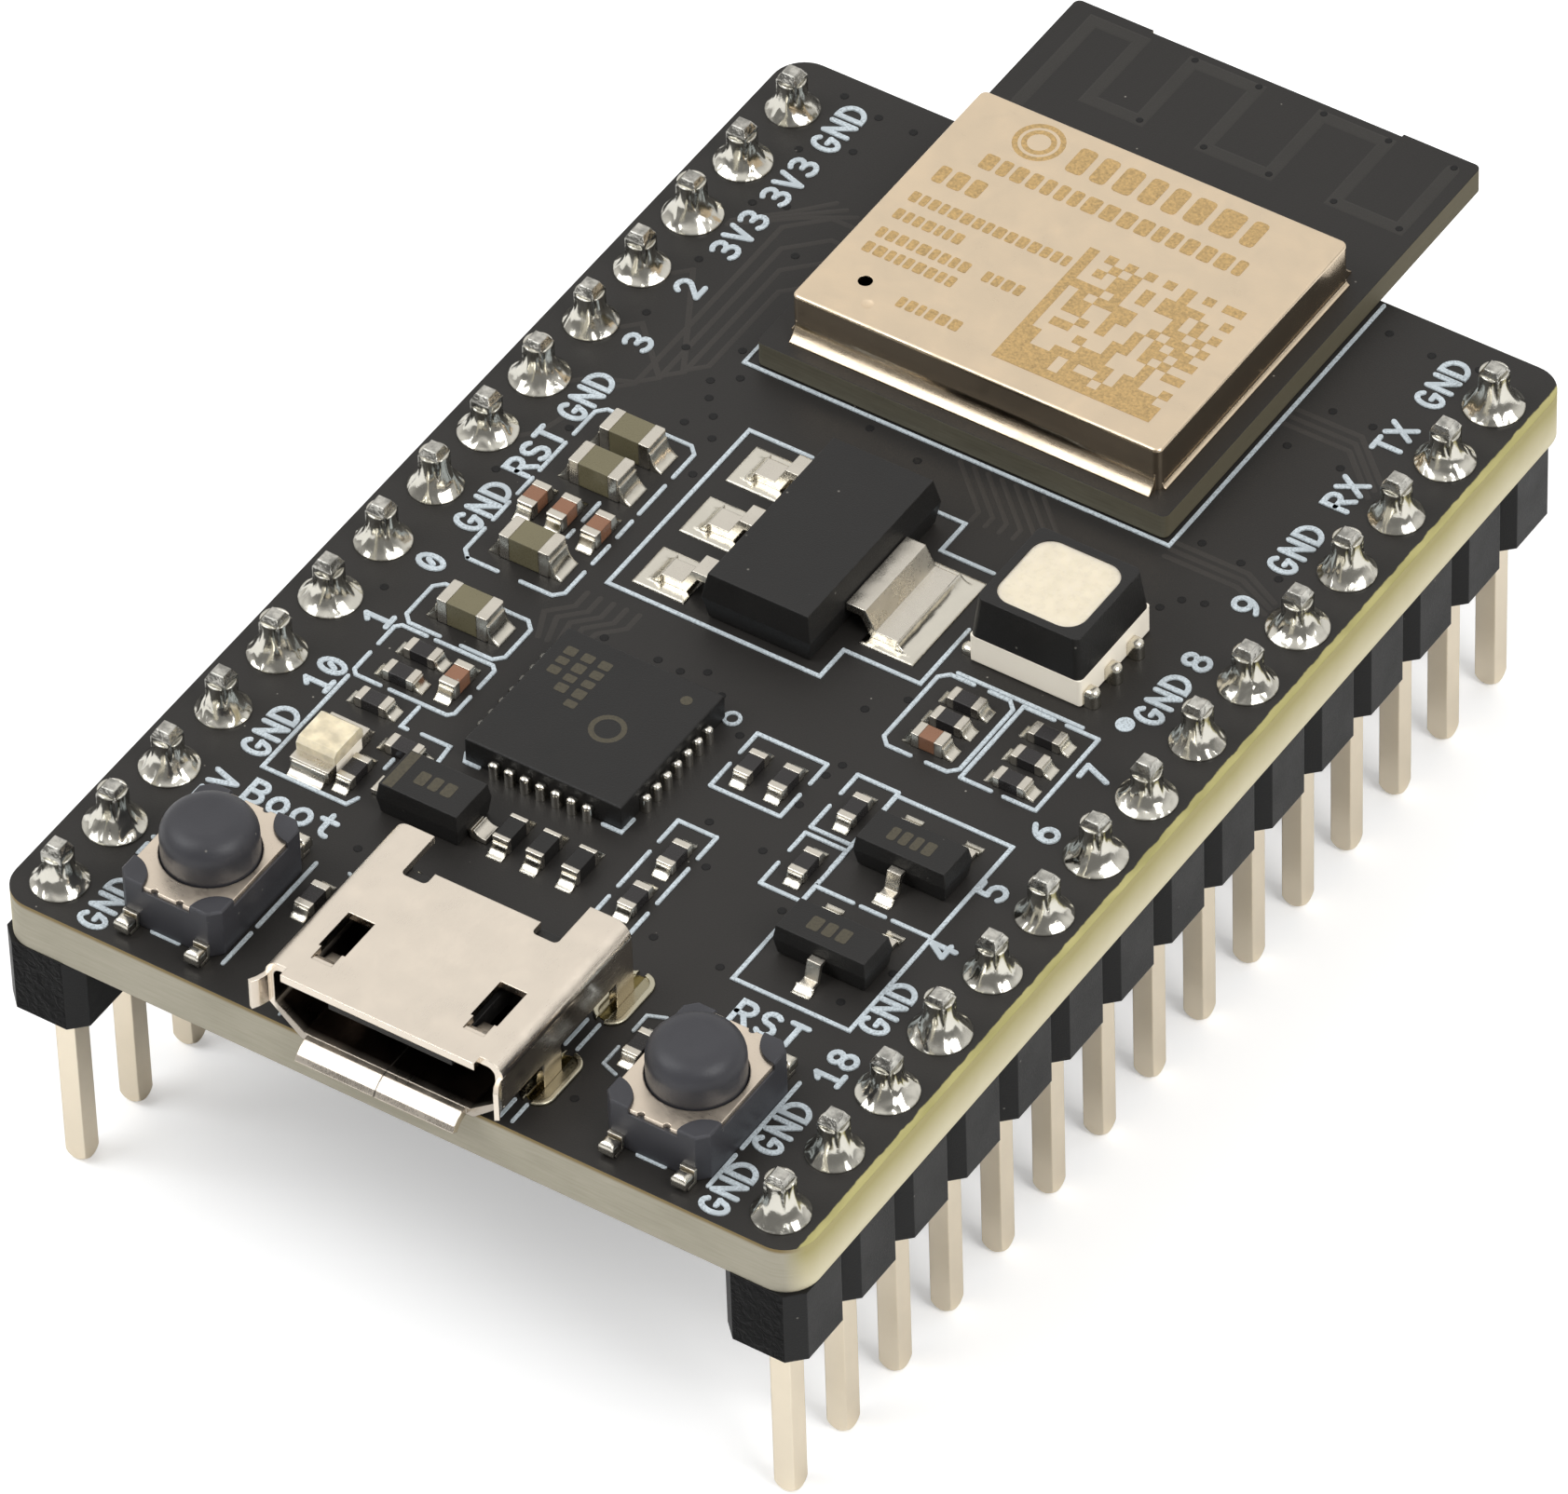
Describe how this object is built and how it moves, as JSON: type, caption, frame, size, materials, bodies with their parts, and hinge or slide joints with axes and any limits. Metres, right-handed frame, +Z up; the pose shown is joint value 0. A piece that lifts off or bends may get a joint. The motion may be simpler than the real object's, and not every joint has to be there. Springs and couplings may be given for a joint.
{
  "type": "microcontroller development board",
  "caption": "Black breadboard-style microcontroller board with a shielded radio module, micro USB socket, two push switches, colour indicator and two soldered rows of square header pins",
  "frame": {"origin": "centre of the two-row pin grid on the underside of the main board", "axes": "+X from the left pin row to the right pin row, +Y from the USB socket to the antenna, +Z up out of the component side"},
  "size_m": [0.0254, 0.0448, 0.0132],
  "materials": {
    "alumina_black": "black overglaze on alumina",
    "black_mould": "matt black epoxy moulding",
    "board_mask": "matte black solder mask over glass-fibre board",
    "can_metal": "matte champagne plated steel",
    "ceramic_brown": "glazed brown ceramic",
    "ceramic_olive": "glazed olive grey ceramic",
    "header_plastic": "satin black moulding",
    "lens_clear": "yellowish clear resin",
    "lens_milky": "milky resin",
    "module_mask": "matte black solder mask",
    "pale_ceramic": "cream moulded carrier",
    "pin_gold": "pale gold flash over brass",
    "silicon_black": "black package",
    "solder": "bright tin solder",
    "switch_cover": "satin plated sheet",
    "switch_plastic": "satin dark grey moulding",
    "tinned_lead": "tinned copper",
    "usb_steel": "satin nickel plated steel"
  },
  "bodies": {
    "board": {"boot_switch_body": "switch_plastic", "boot_switch_cover": "switch_cover", "boot_switch_dome": "tinned_lead", "boot_switch_terminals": "tinned_lead", "bridge_body": "black_mould", "bridge_solder": "solder", "clamp_diode_bodies": "black_mould", "clamp_diode_ends": "tinned_lead", "clamp_diode_solder": "solder", "large_capacitor_bodies": "ceramic_olive", "large_capacitor_ends": "tinned_lead", "large_capacitor_solder": "solder", "left_header_pins": "pin_gold", "left_header_strip": "header_plastic", "left_pin_solder": "solder", "main_board": "board_mask", "module_board": "module_mask", "module_crystal": "tinned_lead", "module_lands": "solder", "module_passives": "ceramic_brown", "module_processor": "silicon_black", "module_shield_can": "can_metal", "power_led_base": "pale_ceramic", "power_led_lens": "lens_clear", "power_led_terminals": "tinned_lead", "rectifier_body": "black_mould", "rectifier_leads": "tinned_lead", "regulator_body": "black_mould", "regulator_leads": "tinned_lead", "regulator_solder": "solder", "reset_switch_body": "switch_plastic", "reset_switch_cover": "switch_cover", "reset_switch_dome": "tinned_lead", "reset_switch_terminals": "tinned_lead", "resistor_bodies": "alumina_black", "resistor_ends": "tinned_lead", "resistor_solder": "solder", "rgb_base": "pale_ceramic", "rgb_housing": "black_mould", "rgb_leads": "solder", "rgb_lens": "lens_milky", "right_header_pins": "pin_gold", "right_header_strip": "header_plastic", "right_pin_solder": "solder", "small_capacitor_bodies": "ceramic_brown", "small_capacitor_ends": "tinned_lead", "small_capacitor_solder": "solder", "switch_solder": "solder", "transistor_bodies": "black_mould", "transistor_leads": "tinned_lead", "transistor_solder": "solder", "usb_anchor_solder": "solder", "usb_contacts": "pin_gold", "usb_shell": "usb_steel", "usb_tongue": "black_mould"},
    "boot_button": {"boot_switch_plunger": "switch_plastic"},
    "reset_button": {"reset_switch_plunger": "switch_plastic"}
  },
  "joints": [
    {"name": "boot_press", "type": "slide", "parent": "board", "child": "boot_button", "axis": [0, 0, -1], "range_m": [0, 0.00025], "deforming": ["boot_switch_dome"]},
    {"name": "reset_press", "type": "slide", "parent": "board", "child": "reset_button", "axis": [0, 0, -1], "range_m": [0, 0.00025], "deforming": ["reset_switch_dome"]}
  ]
}
